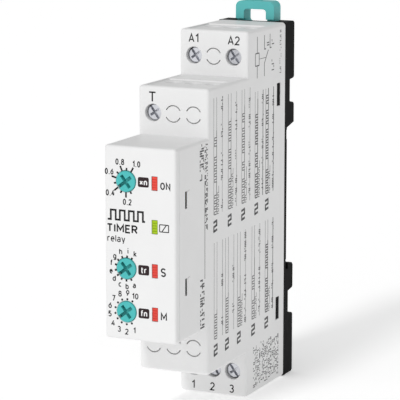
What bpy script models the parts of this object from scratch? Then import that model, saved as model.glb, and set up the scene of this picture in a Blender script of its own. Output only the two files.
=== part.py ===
"""A DIN rail timer one module wide, built as the separate pieces that come apart on a bench.

Lengths are in millimetres, from the front panel's face (y = 0) back to the rail, and metre()
turns them into metres with the origin at the middle of the rail seat. X is the width, +Y points
back at the rail and +Z is up. The case steps back twice above and below the front panel, and each
step carries a row of three terminal positions.
"""

import math

import bmesh
import bpy
from mathutils import Matrix, Vector

# ---- Driving dimensions, mm -------------------------------------------------------------------
WIDTH = 18.0
SEAT_Y = 64.5  # rail seat, behind the front panel
CASE_BACK_Y = 63.0
NOSE_Y = 1.9  # where the front cover meets the housing
STEP_Y = (17.5, 40.0)  # front faces of the inner and outer terminal rows
PANEL_HALF, INNER_HALF, OUTER_HALF = 22.5, 34.0, 45.0  # half heights of the three steps
WALL_SIDE, WALL = 1.3, 1.5
CORNER = 0.8
HALF = WIDTH / 2
INSIDE = HALF - WALL_SIDE

TERMINAL_PITCH = 5.2
TERMINAL_DROP = 6.3  # terminal axis below the shelf above it
SCREW_HOLE_R = 2.05
WIRE_SETBACK = 11.1  # wire entry behind its row's front face

CONTROL_X = -3.5
KNOB_Z = {"time": 14.4, "range": -5.8, "function": -15.9}
KNOB_R, KNOB_HOLE_R = 2.4, 2.5
POINTER_REST = 217.5  # degrees, seen from the front, from +X towards +Z
LED_X = 3.7
LED_Z = {"output": 14.4, "supply": 4.4, "seconds": -5.8, "minutes": -15.9}
LED_SIZE = (1.35, 3.1)
LED_LEADS = (-1.27, 1.27)
TRIMMER_PINS = ((-2.2, -2.2), (-2.2, 2.2), (2.2, 0))

BACK_Y = 69.0
CHEEK_X = 5.35  # inner face of the rail base's cheeks
RAIL_SLOT = (-17.6, 18.5)  # recess that takes the 35 mm rail
EDGE_GROOVE_Y = (SEAT_Y - 0.25, SEAT_Y + 0.6)  # grooves beside the hooks, clear of the rail's edges
EDGE_GROOVE_Z = ((15.7, 18.05), (-17.55, -15.0))

PCB_X = (-7.3, -5.7)
FRONT_PCB_Y = (6.5, 7.7)
PIN = 0.6
GAP = 0.1

# Each terminal that is fitted: name, column (-1, 0, 1), row step (0 inner, 1 outer), up or down
TERMINALS = (
    ("t", -1, 0, 1),
    ("a1", -1, 1, 1),
    ("a2", 1, 1, 1),
    ("1", -1, 1, -1),
    ("2", 0, 1, -1),
    ("3", 1, 1, -1),
)
ROWS = tuple((step, side) for step in (0, 1) for side in (1, -1))


def metre(x, y, z):
    """A point in the row frame, metres, from case millimetres."""
    return Vector((x, y - SEAT_Y, z)) * 0.001


# ---- Shapes -----------------------------------------------------------------------------------
def object_from(bm, name):
    bmesh.ops.recalc_face_normals(bm, faces=bm.faces)
    mesh = bpy.data.meshes.new(name)
    bm.to_mesh(mesh)
    bm.free()
    obj = bpy.data.objects.new(name, mesh)
    bpy.context.scene.collection.objects.link(obj)
    return obj


def prism(outline, axis, low, high, name="shape"):
    """An outline in the other two axes, in their X, Y, Z order, extruded along axis."""

    def point(a, b, along):
        order = {"x": (along, a, b), "y": (a, along, b), "z": (a, b, along)}
        return metre(*order[axis])

    bm = bmesh.new()
    face = bm.faces.new([bm.verts.new(point(a, b, low)) for a, b in outline])
    moved = bmesh.ops.extrude_face_region(bm, geom=[face])["geom"]
    shift = point(0, 0, high) - point(0, 0, low)
    bmesh.ops.translate(bm, vec=shift, verts=[v for v in moved if isinstance(v, bmesh.types.BMVert)])
    return object_from(bm, name)


def box(x, y, z, name="shape"):
    """A box from its (low, high) ranges."""
    outline = [(y[0], z[0]), (y[1], z[0]), (y[1], z[1]), (y[0], z[1])]
    return prism(outline, "x", x[0], x[1], name)


def middle(centre, size):
    return (centre - size / 2, centre + size / 2)


def turned(profile, at, axis="y", segments=32, name="shape"):
    """A turned solid about an axis through at. profile runs along it as (distance, radius)."""
    bm = bmesh.new()
    rings = []
    for along, radius in profile:
        ring = []
        for i in range(segments):
            angle = math.tau * (i + 0.5) / segments
            a, b = radius * math.cos(angle), radius * math.sin(angle)
            order = {"x": (along, a, b), "y": (a, along, b), "z": (a, b, along)}
            ring.append(bm.verts.new(metre(*(p + q for p, q in zip(order[axis], at)))))
        rings.append(ring)
    for one, two in zip(rings, rings[1:]):
        for i in range(segments):
            j = (i + 1) % segments
            bm.faces.new((one[i], one[j], two[j], two[i]))
    bm.faces.new(rings[0])
    bm.faces.new(rings[-1])
    return object_from(bm, name)


def cylinder(radius, at, axis, low, high, segments=32):
    return turned([(low, radius), (high, radius)], at, axis, segments)


def settle(obj):
    """Turns the object's modifiers into its mesh."""
    graph = bpy.context.evaluated_depsgraph_get()
    graph.update()
    mesh = bpy.data.meshes.new_from_object(obj.evaluated_get(graph))
    obj.modifiers.clear()
    obj.data = mesh


def boolean(obj, others, operation):
    for other in others:
        cut = obj.modifiers.new(operation.lower(), "BOOLEAN")
        cut.operation = operation
        cut.solver = "EXACT"
        cut.object = other
        settle(obj)
        bpy.data.objects.remove(other)
    return obj


def join(obj, *others):
    return boolean(obj, others, "UNION")


def cut(obj, *others):
    return boolean(obj, others, "DIFFERENCE")


def rounded(obj, radius, segments=2):
    """Rounds every edge sharper than 40 degrees."""
    bevel = obj.modifiers.new("edges", "BEVEL")
    bevel.width = radius * 0.001
    bevel.segments = segments
    bevel.limit_method = "ANGLE"
    bevel.angle_limit = math.radians(40)
    settle(obj)
    return obj


def finished(obj, name, material, origin=None, smooth_angle=35):
    """Names a piece, gives it its material and puts its origin on its joint's axis."""
    obj.name = obj.data.name = name
    obj.data.materials.clear()
    obj.data.materials.append(material)
    if origin is not None:
        obj.data.transform(Matrix.Translation(-origin))
        obj.location = origin
    obj.data.shade_smooth()
    obj.data.set_sharp_from_angle(angle=math.radians(smooth_angle))
    return obj


def material(name, colour, roughness, metallic=0.0):
    made = bpy.data.materials.new(name)
    made.use_nodes = True
    shader = made.node_tree.nodes["Principled BSDF"]
    shader.inputs["Base Color"].default_value = (*colour, 1.0)
    shader.inputs["Roughness"].default_value = roughness
    shader.inputs["Metallic"].default_value = metallic
    made.diffuse_color = (*colour, 1.0)
    return made


# ---- Enclosure --------------------------------------------------------------------------------
def row_place(step, side):
    """Front face y, shelf z and terminal axis z of a row."""
    shelf = (INNER_HALF, OUTER_HALF)[step] * side
    return STEP_Y[step], shelf, shelf - TERMINAL_DROP * side


def ordered(a, b):
    return (min(a, b), max(a, b))


def knockout_slot(x, face_y, z, first, last, name="slot"):
    """A shallow arc groove; two of them leave a disc that a screwdriver can push out."""
    inner, outer, depth, steps = 1.78, 2.08, 0.9, 6
    angles = [math.radians(first + (last - first) * i / steps) for i in range(steps + 1)]
    outline = [(x + outer * math.cos(a), z + outer * math.sin(a)) for a in angles]
    outline += [(x + inner * math.cos(a), z + inner * math.sin(a)) for a in reversed(angles)]
    return prism(outline, "y", face_y - 1, face_y + depth, name)


def screw_well(x, face_y, z, fitted):
    """The access hole of a terminal, with the shoulder that its screw's head bears on."""
    back = face_y + GUIDE_DEPTH + 0.2
    if not fitted:
        return cylinder(SCREW_HOLE_R, (x, 0, z), "y", face_y + WALL, back, 12)
    shoulder, shank_r = face_y + SCREW_HEAD[1] + 0.2, 1.45
    profile = [
        (face_y - 1, SCREW_HOLE_R),
        (shoulder, SCREW_HOLE_R),
        (shoulder, shank_r),
        (back, shank_r),
    ]
    return turned(profile, (x, 0, z), "y", 24)


def wire_funnel(x, y, shelf, side):
    mouth, hole, depth = 2.25, 1.6, 1.0
    floor = shelf - POCKET_DEPTH * side
    profile = [
        (floor + side, mouth),
        (floor, mouth),
        (floor - depth * side, hole),
        (floor - 3 * side, hole),
    ]
    return turned(profile, (x, y, 0), "z", 16)


POCKET_DEPTH = 0.4
GUIDE_DEPTH = 3.7
FRONT_SLOT_Y, FRONT_SLOT_Z = (4.95, 5.95), (8.1, 12.1)
REAR_SLOT_Y = (57.9, 60.1)
REAR_SLOT_Z = ((24.8, 30.5), (-29.35, -23.55))
ARM_LENGTH = 1.2  # of a front snap arm along z, at the top of its window


def front_slots():
    """The front cover's snap windows: narrow at the surface, with their rear wall cut back inside."""
    near, far = FRONT_SLOT_Y
    lip, inner = HALF - 0.12, INSIDE - 0.5
    made = []
    for x in (-1, 1):
        outline = [(HALF + 1, near), (HALF + 1, far), (lip, far), (inner, far + 3.6), (inner, near)]
        outline = [(a * x, b) for a, b in outline]
        made += [prism(outline, "z", *front_slot_z(z)) for z in (-1, 1)]
    return made


def front_slot_z(side):
    return ordered(FRONT_SLOT_Z[0] * side, FRONT_SLOT_Z[1] * side)


def rear_slots():
    """The rail base's snap windows."""
    ranges = [ordered((INSIDE - 0.5) * x, (HALF + 1) * x) for x in (-1, 1)]
    return [box(x_range, REAR_SLOT_Y, z_range) for x_range in ranges for z_range in REAR_SLOT_Z]


def housing(plastic):
    """The white case: one moulding, open to the front cover and to the rail base."""
    steps = (
        (NOSE_Y - 2, STEP_Y[0] + 2, PANEL_HALF),
        (STEP_Y[0], STEP_Y[1] + 2, INNER_HALF),
        (STEP_Y[1], CASE_BACK_Y + 2, OUTER_HALF),
    )
    shell, *rest = [
        rounded(box((-HALF, HALF), (front, back), (-half, half)), CORNER, 2)
        for front, back, half in steps
    ]
    join(shell, *rest)
    trim = (box((-20, 20), (-5, NOSE_Y), (-60, 60)), box((-20, 20), (CASE_BACK_Y, 70), (-60, 60)))
    hollow = [
        box((-INSIDE, INSIDE), (front, back), (WALL - half, half - WALL))
        for front, back, half in (
            (0, STEP_Y[0] + 3, PANEL_HALF),
            (STEP_Y[0] + WALL, STEP_Y[1] + 3, INNER_HALF),
            (STEP_Y[1] + WALL, CASE_BACK_Y + 3, OUTER_HALF),
        )
    ]
    cut(shell, *trim, *hollow)
    for step, side in ROWS:
        face, shelf, axis = row_place(step, side)
        guide = box((-INSIDE - 0.2, INSIDE + 0.2), (face + 1.2, face + GUIDE_DEPTH), middle(axis, 6))
        join(shell, guide)
        for x in (-TERMINAL_PITCH / 2, TERMINAL_PITCH / 2):
            ends = ordered(axis - 2.6 * side, shelf - side)
            join(shell, box(middle(x, 0.4), (face + GUIDE_DEPTH - 0.3, face + 13.6), ends))
        pocket = ordered(shelf - POCKET_DEPTH * side, shelf + side)
        cut(shell, box((-INSIDE, INSIDE), (face + 1.4, face + 14), pocket))
        for column in (-1, 0, 1):
            x = column * TERMINAL_PITCH
            cut(shell, wire_funnel(x, face + WIRE_SETBACK, shelf, side))
            fitted = any(t[1:] == (column, step, side) for t in TERMINALS)
            cut(shell, screw_well(x, face, axis, fitted))
            if not fitted:
                arcs = [knockout_slot(x, face, axis, a, a + 130) for a in (25, 205)]
                cut(shell, *arcs)
    cut(shell, *front_slots(), *rear_slots())
    return finished(shell, "housing", plastic)


def snap_arm(side, z_range, root_y, tip_y, barb_y, barb_out, flat):
    """A snap arm along a side wall; its barb's flat face, at barb_y[0], catches the window's edge.

    flat is the share of the barb at its full height, before the ramp down to barb_y[1].
    """
    outer, inner = INSIDE - 0.15, INSIDE - 1.15
    arm = box(ordered(inner * side, outer * side), ordered(root_y, tip_y), z_range)
    catch, end = barb_y
    crest = catch + (end - catch) * flat
    barb = [
        ((outer - 0.3) * side, catch),
        ((outer + barb_out) * side, catch),
        ((outer + barb_out) * side, crest),
        (outer * side, end),
        ((outer - 0.3) * side, end),
    ]
    return join(arm, prism(barb, "z", *z_range))


def collar(y_range, half_z):
    """The rim of a cover that plugs into the housing."""
    outer, thick = INSIDE - 0.15, 0.95
    rim = box((-outer, outer), y_range, (-half_z, half_z))
    inner = (y_range[0] - 1, y_range[1] + 1)
    hole = box((thick - outer, outer - thick), inner, (thick - half_z, half_z - thick))
    return cut(rim, hole)


def front_cover(plastic):
    plate = 1.2
    cover = rounded(box((-HALF, HALF), (0, 6), (-PANEL_HALF, PANEL_HALF)), 0.7, 2)
    cut(cover, box((-20, 20), (NOSE_Y - GAP, 9), (-40, 40)))
    cut(cover, box((-7.9, 7.9), (plate, 9), (-21.3, 21.3)))
    join(cover, collar((plate - 0.2, 4.2), PANEL_HALF - WALL - 0.15))
    for x in (-1, 1):
        for z in (-1, 1):
            top = front_slot_z(z)[1] - 2 * GAP
            barb = (FRONT_SLOT_Y[0] + GAP, FRONT_SLOT_Y[1] - GAP)
            join(cover, snap_arm(x, (top - ARM_LENGTH, top), 3.8, 6.3, barb, 0.6, 0.4))
    for z in KNOB_Z.values():
        cut(cover, cylinder(KNOB_HOLE_R, (CONTROL_X, 0, z), "y", -1, 3, 40))
    for z in LED_Z.values():
        width, height = (size + 2 * GAP for size in LED_SIZE)
        cut(cover, box(middle(LED_X, width), (-1, 3), middle(z, height)))
    return finished(cover, "front_cover", plastic)


# ---- Rail base and clip -----------------------------------------------------------------------
NOTCH_DEPTH = 2.7
LIP_SLOT = 1.3  # takes the rail's lower lip, 1 mm thick
HOOK_TIP = -16.2  # top of the cheeks' fixed hooks, over the rail's lower lip
HOOK_FOOT = -24.5
RIB, RIB_Z = 1.2, (-30.0, -36.5, -43.8)  # ribs that stiffen the lower block
GUIDE_Y, RUNNER_Y = (66.0, 67.7), (66.25, 67.45)  # grooves in the cheeks, and the clip's runners
SPRING_Y, SPRING_R, SPRING_WIRE, SPRING_TURNS = 67.25, 1.1, 0.2, 7
SPRING_Z = (25.4, 36.8)
STOP_Z = (37.0, 39.8)
CLIP_Y = (65.7, 69.0)
HANDLE_Y = (64.7, 68.9)  # the loop is thicker than the plate below it


def cheek_outline():
    """The rail base's side profile in (y, z): blocks, notches and teeth around the rail recess."""
    root, back, notch = SEAT_Y - 0.6, BACK_Y, BACK_Y - NOTCH_DEPTH
    low, high = RAIL_SLOT
    return [
        (root, OUTER_HALF),
        (back - 0.5, OUTER_HALF),
        (back, OUTER_HALF - 0.5),
        (back, 31.1),
        (back - 0.4, 30.7),
        (notch, 30.5),
        (notch, 25.0),
        (back - 0.5, 24.6),
        (back, 24.1),
        (back, high + 1.0),
        (SEAT_Y, high),
        (SEAT_Y, low),
        (SEAT_Y + LIP_SLOT, low),
        (SEAT_Y + LIP_SLOT, HOOK_TIP),
        (back - 0.6, HOOK_TIP - 0.3),
        (back, HOOK_TIP - 0.9),
        (back, -22.7),
        (back - 0.4, -23.1),
        (notch - 0.3, -23.5),
        (notch - 0.3, -28.9),
        (back - 0.4, -29.6),
        (back, -30.0),
        (back, 0.5 - OUTER_HALF),
        (back - 0.5, -OUTER_HALF),
        (root, -OUTER_HALF),
    ]


def rail_base(plastic):
    """The black foot: back plate, cheeks, fixed hook, clip guides and the collar with its arms."""
    plate_y = (CASE_BACK_Y + GAP, SEAT_Y)
    base = box((-HALF, HALF), plate_y, (-OUTER_HALF, OUTER_HALF))
    for side in (-1, 1):
        cheek = prism(cheek_outline(), "x", *ordered(CHEEK_X * side, HALF * side))
        guide = box(ordered(0, 6.35 * side), GUIDE_Y, (19.0, 50))
        join(base, cut(cheek, guide))
    low = RAIL_SLOT[0]
    hook = [
        (SEAT_Y - 0.5, low),
        (SEAT_Y + 1.2, low),
        (SEAT_Y + 1.2, low + 2.0),
        (SEAT_Y + 2.4, low + 2.0),
        (BACK_Y - 0.4, low + 0.6),
        (BACK_Y - 0.4, HOOK_FOOT),
        (SEAT_Y - 0.5, HOOK_FOOT),
    ]
    join(base, prism(hook, "x", -CHEEK_X - 0.3, CHEEK_X + 0.3))
    for z in RIB_Z:
        join(base, box((-CHEEK_X - 0.3, CHEEK_X + 0.3), (SEAT_Y - 0.5, BACK_Y - 0.8), middle(z, RIB)))
    join(base, box(middle(0, RIB), (SEAT_Y - 0.5, BACK_Y - 1.2), (-44, -24)))
    join(base, box((-1.4, 1.4), (SEAT_Y - 0.5, 68.4), STOP_Z))
    for groove_z in EDGE_GROOVE_Z:
        cut(base, box((-HALF - 1, HALF + 1), EDGE_GROOVE_Y, groove_z))
    join(base, collar((59.4, CASE_BACK_Y + 0.4), OUTER_HALF - WALL - 0.15))
    barb = (REAR_SLOT_Y[1] - GAP, REAR_SLOT_Y[0] + GAP)
    for x in (-1, 1):
        for low, high in REAR_SLOT_Z:
            join(base, snap_arm(x, (low + GAP, high - GAP), 62.0, 57.4, barb, 1.35, 0.8))
    return finished(base, "rail_base", plastic)


def arc(centre, radius, first, last, steps=4):
    return [
        (
            centre[0] + radius * math.cos(math.radians(first + (last - first) * i / steps)),
            centre[1] + radius * math.sin(math.radians(first + (last - first) * i / steps)),
        )
        for i in range(steps + 1)
    ]


def rail_clip(plastic):
    """The sliding clip: pull loop on top, spring window, side runners and the tooth."""
    half, top, tip, radius = 5.2, 49.8, 15.9, 1.5
    shoulders = arc((half - radius, top - radius), radius, 0, 90)
    shoulders += arc((radius - half, top - radius), radius, 90, 180)
    clip = prism([(-half, tip), (half, tip)] + shoulders, "y", *CLIP_Y)
    handle_low = OUTER_HALF + 0.3
    handle = prism([(-half, handle_low), (half, handle_low)] + shoulders, "y", *HANDLE_Y)
    join(clip, handle)
    lip = [(CLIP_Y[1] + 1, tip - 1), (CLIP_Y[1] + 1, tip + 3.6), (CLIP_Y[0] + 1.3, tip - 0.001)]
    lip += [(CLIP_Y[0] + 1.3, tip - 1)]
    cut(clip, prism(lip, "x", -9, 9))
    for side in (-1, 1):
        runner = box(ordered((half - 0.3) * side, 6.15 * side), RUNNER_Y, (20.0, 43.6))
        join(clip, runner)
    left, right, low, high = -2.95, 2.95, 44.5, 47.8
    corner = 0.8
    loop = arc((right - corner, high - corner), corner, 0, 90, 3)
    loop += arc((left + corner, high - corner), corner, 90, 180, 3)
    loop += arc((left + corner, low + corner), corner, 180, 270, 3)
    loop += arc((right - corner, low + corner), corner, 270, 360, 3)
    cut(clip, prism(loop, "y", 60, 75))
    cut(clip, box(middle(0, 3.2), (60, 75), (SPRING_Z[0] - 0.2, STOP_Z[1] + 0.2)))
    join(clip, box((-3.6, 0.6), (67.3, 68.7), (top - 0.4, top + 0.5)))
    return finished(clip, "rail_clip", plastic, metre(0, SPRING_Y, 17.0))


def clip_spring(steel):
    """A compression spring: a helix whose end turns close up."""
    steps = 9
    low, high = SPRING_Z[0] + SPRING_WIRE + 0.05, SPRING_Z[1] - SPRING_WIRE - 0.05
    count = SPRING_TURNS * steps
    curve = bpy.data.curves.new("clip_spring", "CURVE")
    curve.dimensions = "3D"
    curve.bevel_depth = SPRING_WIRE * 0.001
    curve.bevel_resolution = 1
    curve.use_fill_caps = True
    line = curve.splines.new("POLY")
    line.points.add(count)
    for i, point in enumerate(line.points):
        share = i / count
        eased = share + math.sin(math.tau * share) * -0.08
        angle = math.tau * i / steps
        place = metre(
            SPRING_R * math.cos(angle),
            SPRING_Y + SPRING_R * math.sin(angle),
            low + (high - low) * eased,
        )
        point.co = (*place, 1)
    made = bpy.data.objects.new("clip_spring", curve)
    bpy.context.scene.collection.objects.link(made)
    curve.materials.append(steel)
    return made


# ---- Controls ---------------------------------------------------------------------------------
def bar(at, angle, start, end, width, y_range):
    """A slot cutter in the XZ plane along a direction."""
    c, s = math.cos(math.radians(angle)), math.sin(math.radians(angle))
    corners = ((start, -width / 2), (end, -width / 2), (end, width / 2), (start, width / 2))
    outline = [(at[0] + u * c - v * s, at[1] + u * s + v * c) for u, v in corners]
    return prism(outline, "y", *y_range)


def knob(name, z, plastic):
    """A screwdriver knob: a crossed slot with one arm run out to the rim as the pointer."""
    proud, foot, shaft_end, ease = 0.3, 1.9, 4.6, 0.18
    profile = [
        (-proud, KNOB_R - ease),
        (ease - proud, KNOB_R),
        (foot, KNOB_R),
        (foot, 1.1),
        (shaft_end, 1.1),
    ]
    at = (CONTROL_X, z)
    made = turned(profile, (CONTROL_X, 0, z), "y", 32)
    slot_y = (-2, 0.8)
    cut(made, bar(at, POINTER_REST, -1.75, 4, 0.75, slot_y))
    cut(made, bar(at, POINTER_REST + 90, -1.75, 1.75, 0.75, slot_y))
    return finished(made, name, plastic, metre(CONTROL_X, 0, z))


def trimmer(name, z, plastic):
    """A potentiometer: square body, bore for the knob's shaft and three pins."""
    made = rounded(box(middle(CONTROL_X, 5.8), (2.3, 6.3), middle(z, 5.8)), 0.3, 1)
    cut(made, cylinder(1.3, (CONTROL_X, 0, z), "y", 1, 4.9, 24))
    for dx, dz in TRIMMER_PINS:
        pin = box(middle(CONTROL_X + dx, PIN), (6.0, 8.6), middle(z + dz, PIN))
        join(made, pin)
    return finished(made, name, plastic)


def led(name, z, lens):
    """A rectangular lamp: the lens fills its window, the foot carries two leads."""
    width, height = LED_SIZE
    made = rounded(box(middle(LED_X, width), (0.05, 4), middle(z, height)), 0.12, 1)
    join(made, box(middle(LED_X, width + 0.9), (2.6, 5.0), middle(z, height + 0.7)))
    for dz in LED_LEADS:
        join(made, box(middle(LED_X, 0.45), (4.8, 8.6), middle(z + dz, 0.45)))
    return finished(made, name, lens)


# ---- Terminals --------------------------------------------------------------------------------
def terminal_place(column, step, side):
    """x, front face y and z of a terminal's axis."""
    face, _, axis = row_place(step, side)
    return column * TERMINAL_PITCH, face, axis


SCREW_HEAD = (1.0, 2.8)
SCREW_TIP = 8.9
CAGE_Y = (6.4, 13.2)
LUG_Y = (9.0, 9.8)


def terminal_screw(name, place, steel):
    x, face, z = place
    top, under = SCREW_HEAD
    profile = [
        (top, 1.62),
        (top + 0.3, 1.9),
        (under, 1.9),
        (under, 1.28),
        (SCREW_TIP - 0.4, 1.28),
        (SCREW_TIP, 0.9),
    ]
    made = turned(profile, (x, face, z), "y", 16)
    front = (face - 1, face + top + 0.75)
    cut(made, bar((x, z), 125, -3, 3, 0.55, front))
    deep = (face - 1, face + top + 1.25)
    cut(made, bar((x, z), 35, -1.2, 1.2, 0.6, deep), bar((x, z), 125, -1.2, 1.2, 0.6, deep))
    return finished(made, name, steel, metre(x, face, z))


def terminal_cage(name, place, steel):
    """The rising clamp: a square frame, threaded at the front, open to the wire above and below."""
    x, face, z = place
    near, far = face + CAGE_Y[0], face + CAGE_Y[1]
    made = rounded(box(middle(x, 4.4), (near, far), middle(z, 5.0)), 0.25, 1)
    cut(made, box(middle(x, 3.0), (near + 1.2, far - 0.8), middle(z, 8)))
    cut(made, cylinder(1.4, (x, 0, z), "y", near - 1, near + 2, 16))
    return finished(made, name, steel, metre(x, face, z))


def terminal_lug(name, place, side, reach, brass):
    """The contact strip that the wire is clamped to, and its bar and pin to the main board."""
    x, face, z = place
    across = (face + LUG_Y[0], face + LUG_Y[1])
    bar_z = z - reach * side
    made = box(middle(x, 2.6), across, ordered(z + 2.3 * side, z - 3.4 * side))
    inner = max(x, -4.65)
    join(made, box(middle(inner, 1.3), across, ordered(z - 3.0 * side, bar_z - 0.6 * side)))
    join(made, box((PCB_X[1] + 0.25, inner + 0.65), across, middle(bar_z, 1.2)))
    pin_y = (across[0] + 0.1, across[1] - 0.1)
    join(made, box((PCB_X[0] - 0.25, PCB_X[1] + 0.5), pin_y, middle(bar_z, 0.8)))
    return finished(made, name, brass)


# How far inwards each lug runs before it turns to the board, so that those of a row pass each other
LUG_REACH = {"t": 8.0, "a1": 8.1, "a2": 10.3, "1": 8.1, "2": 10.3, "3": 12.5}


def lug_pin(terminal):
    """(y, z) where a lug's pin goes through the main board."""
    name, column, step, side = terminal
    _, face, z = terminal_place(column, step, side)
    return face + (LUG_Y[0] + LUG_Y[1]) / 2, z - LUG_REACH[name] * side


# ---- Circuit boards and components ------------------------------------------------------------
HEADER_Z = [2.54 * (i - 2) + 4.5 for i in range(5)]
HEADER_X = -4.2
HEADER_PIN_Y = 11.4
RELAY = ((41.4, 56.4), (-23.4, -3.4))
RELAY_PINS = ((43.4, -20.5), (54.4, -20.5), (48.9, -13.0), (43.4, -6.5), (54.4, -6.5))
BULK_CAP = (50.5, 10.0, 4.0, 11.8)  # y, z, radius, length
SMALL_CAP = (36.0, 26.0, 2.5, 9.0)
FILM_CAP = ((24.0, 37.0), (5.5, 11.0), 9.5)
FILM_CAP_LEADS = (25.5, 35.5)
INDUCTOR = (27.0, -3.0)
VARISTOR = (54.0, 26.5)
RESISTOR = ((38.5, 20.5), (52.0, 20.5))
OPTO = (17.0, 13.5)
OPTO_LEGS = [(a, b) for a in (-3.6, 3.6) for b in (-1.27, 1.27)]
RECTIFIER = (43.0, 2.0)
RECTIFIER_LEGS = [(a, b) for a in (-2.6, 2.6) for b in (-1.27, 1.27)]
CONTROLLER = (30.5, -14.0)
COMPONENT_X = PCB_X[1] + GAP


def pin_places():
    """Every (y, z) where something is soldered through the main board."""
    y, z = BULK_CAP[:2]
    places = [(y, z - 1.75), (y, z + 1.75)]
    y, z = SMALL_CAP[:2]
    places += [(y, z - 1.0), (y, z + 1.0)]
    places += [(y, sum(FILM_CAP[1]) / 2) for y in FILM_CAP_LEADS]
    places += [(INDUCTOR[0] + d, INDUCTOR[1]) for d in (-2.5, 2.5)]
    places += [(VARISTOR[0], VARISTOR[1] + d) for d in (-2.5, 2.5)]
    places += list(RESISTOR) + list(RELAY_PINS)
    places += [(OPTO[0] + a, OPTO[1] + b) for a, b in OPTO_LEGS]
    places += [(RECTIFIER[0] + a, RECTIFIER[1] + b) for a, b in RECTIFIER_LEGS]
    places += [(HEADER_PIN_Y, z) for z in HEADER_Z]
    places += [lug_pin(t) for t in TERMINALS]
    return places


def leads(places, start=COMPONENT_X + 0.3, size=PIN):
    return [box((PCB_X[0] - 0.3, start), middle(y, size), middle(z, size)) for y, z in places]


def board_outline():
    """The main board's stepped edge, clear of the terminals, in (y, z)."""
    upper = [(9.3, 20.6), (33.0, 20.6), (33.0, 31.9), (57.0, 31.9)]
    return upper + [(y, -z) for y, z in reversed(upper)]


# The six faces of a block, by the order in which hole_grid makes its corners
BLOCK_FACES = ((0, 1, 3, 2), (4, 6, 7, 5), (0, 4, 5, 1), (2, 3, 7, 6), (0, 2, 6, 4), (1, 5, 7, 3))


def hole_grid(places, axis, span, size):
    """One closed cutter for many square holes, as separate blocks in a single mesh."""
    bm = bmesh.new()
    for a, b in places:
        corners = []
        for u in (-size / 2, size / 2):
            for v in (-size / 2, size / 2):
                for w in span:
                    point = (w, a + u, b + v) if axis == "x" else (a + u, w, b + v)
                    corners.append(bm.verts.new(metre(*point)))
        for ring in BLOCK_FACES:
            bm.faces.new([corners[i] for i in ring])
    return object_from(bm, "holes")


def main_board(laminate):
    made = prism(board_outline(), "x", *PCB_X)
    cut(made, hole_grid(pin_places(), "x", (PCB_X[0] - 1, PCB_X[1] + 1), 1.0))
    return finished(made, "main_board", laminate)


def front_board(laminate):
    made = box((-7.4, 7.4), FRONT_PCB_Y, (-20.6, 20.6))
    places = [
        (CONTROL_X + dx, z + dz)
        for z in KNOB_Z.values()
        for dx, dz in TRIMMER_PINS
    ]
    places += [(LED_X, z + dz) for z in LED_Z.values() for dz in LED_LEADS]
    places += [(HEADER_X, z) for z in HEADER_Z]
    cut(made, hole_grid(places, "y", (FRONT_PCB_Y[0] - 1, FRONT_PCB_Y[1] + 1), 0.9))
    return finished(made, "front_board", laminate)


def board_header(plastic):
    """The right-angle pin strip that joins the two boards."""
    made = box((-5.4, -3.0), (10.2, 12.6), (HEADER_Z[0] - 1.2, HEADER_Z[-1] + 1.2))
    for z in HEADER_Z:
        join(made, box(middle(HEADER_X, PIN), (6.0, 10.6), middle(z, PIN)))
    join(made, *leads([(HEADER_PIN_Y, z) for z in HEADER_Z], -5.0))
    return finished(made, "board_header", plastic)


def relay(plastic):
    made = rounded(box((COMPONENT_X, 5.2), *RELAY), 0.5, 2)
    join(made, *leads(RELAY_PINS))
    return finished(made, "output_relay", plastic)


def can_capacitor(name, place, sleeve, pitch):
    """An electrolytic can standing on the board, with its crimp and rounded top."""
    y, z, radius, length = place
    x = COMPONENT_X
    profile = [
        (x, radius - 0.4),
        (x + 0.4, radius),
        (x + 1.2, radius),
        (x + 1.6, radius - 0.35),
        (x + 2.0, radius),
        (x + length - 0.5, radius),
        (x + length, radius - 0.5),
    ]
    made = turned(profile, (0, y, z), "x", 16)
    join(made, *leads([(y, z - pitch / 2), (y, z + pitch / 2)]))
    return finished(made, name, sleeve)


def film_capacitor(plastic):
    y, z, height = FILM_CAP
    made = rounded(box((COMPONENT_X, COMPONENT_X + height), y, z), 0.3, 1)
    join(made, *leads([(at, sum(z) / 2) for at in FILM_CAP_LEADS]))
    return finished(made, "film_capacitor", plastic)


def inductor(ferrite):
    """A drum choke: two flanges with the winding between them."""
    y, z = INDUCTOR
    x = COMPONENT_X
    profile = [(x, 4.0), (x + 1.2, 4.0), (x + 1.2, 3.4), (x + 7.6, 3.4), (x + 7.6, 4.0), (x + 8.8, 4.0)]
    made = turned(profile, (0, y, z), "x", 16)
    join(made, *leads([(y - 2.5, z), (y + 2.5, z)]))
    return finished(made, "supply_choke", ferrite)


def varistor(coating):
    """A disc on two leads."""
    y, z = VARISTOR
    x = COMPONENT_X + 4.6
    profile = [(-1.7, 3.0), (-1.2, 3.7), (1.2, 3.7), (1.7, 3.0)]
    made = turned(profile, (x, y, z), "y", 16)
    join(made, *leads([(y, z - 2.5), (y, z + 2.5)], x - 1.0))
    return finished(made, "varistor", coating)


def fusible_resistor(coating):
    """An axial resistor with its leads bent down to the board."""
    (y0, z), (y1, _) = RESISTOR
    x = COMPONENT_X + 1.6
    profile = [
        (y0 + 2.5, 1.1),
        (y0 + 2.9, 1.3),
        (y1 - 2.9, 1.3),
        (y1 - 2.5, 1.1),
    ]
    made = turned(profile, (x, 0, z), "y", 12)
    join(made, box(middle(x, PIN), (y0 - PIN / 2, y1 + PIN / 2), middle(z, PIN)))
    join(made, *leads(RESISTOR, x))
    return finished(made, "fusible_resistor", coating)


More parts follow.
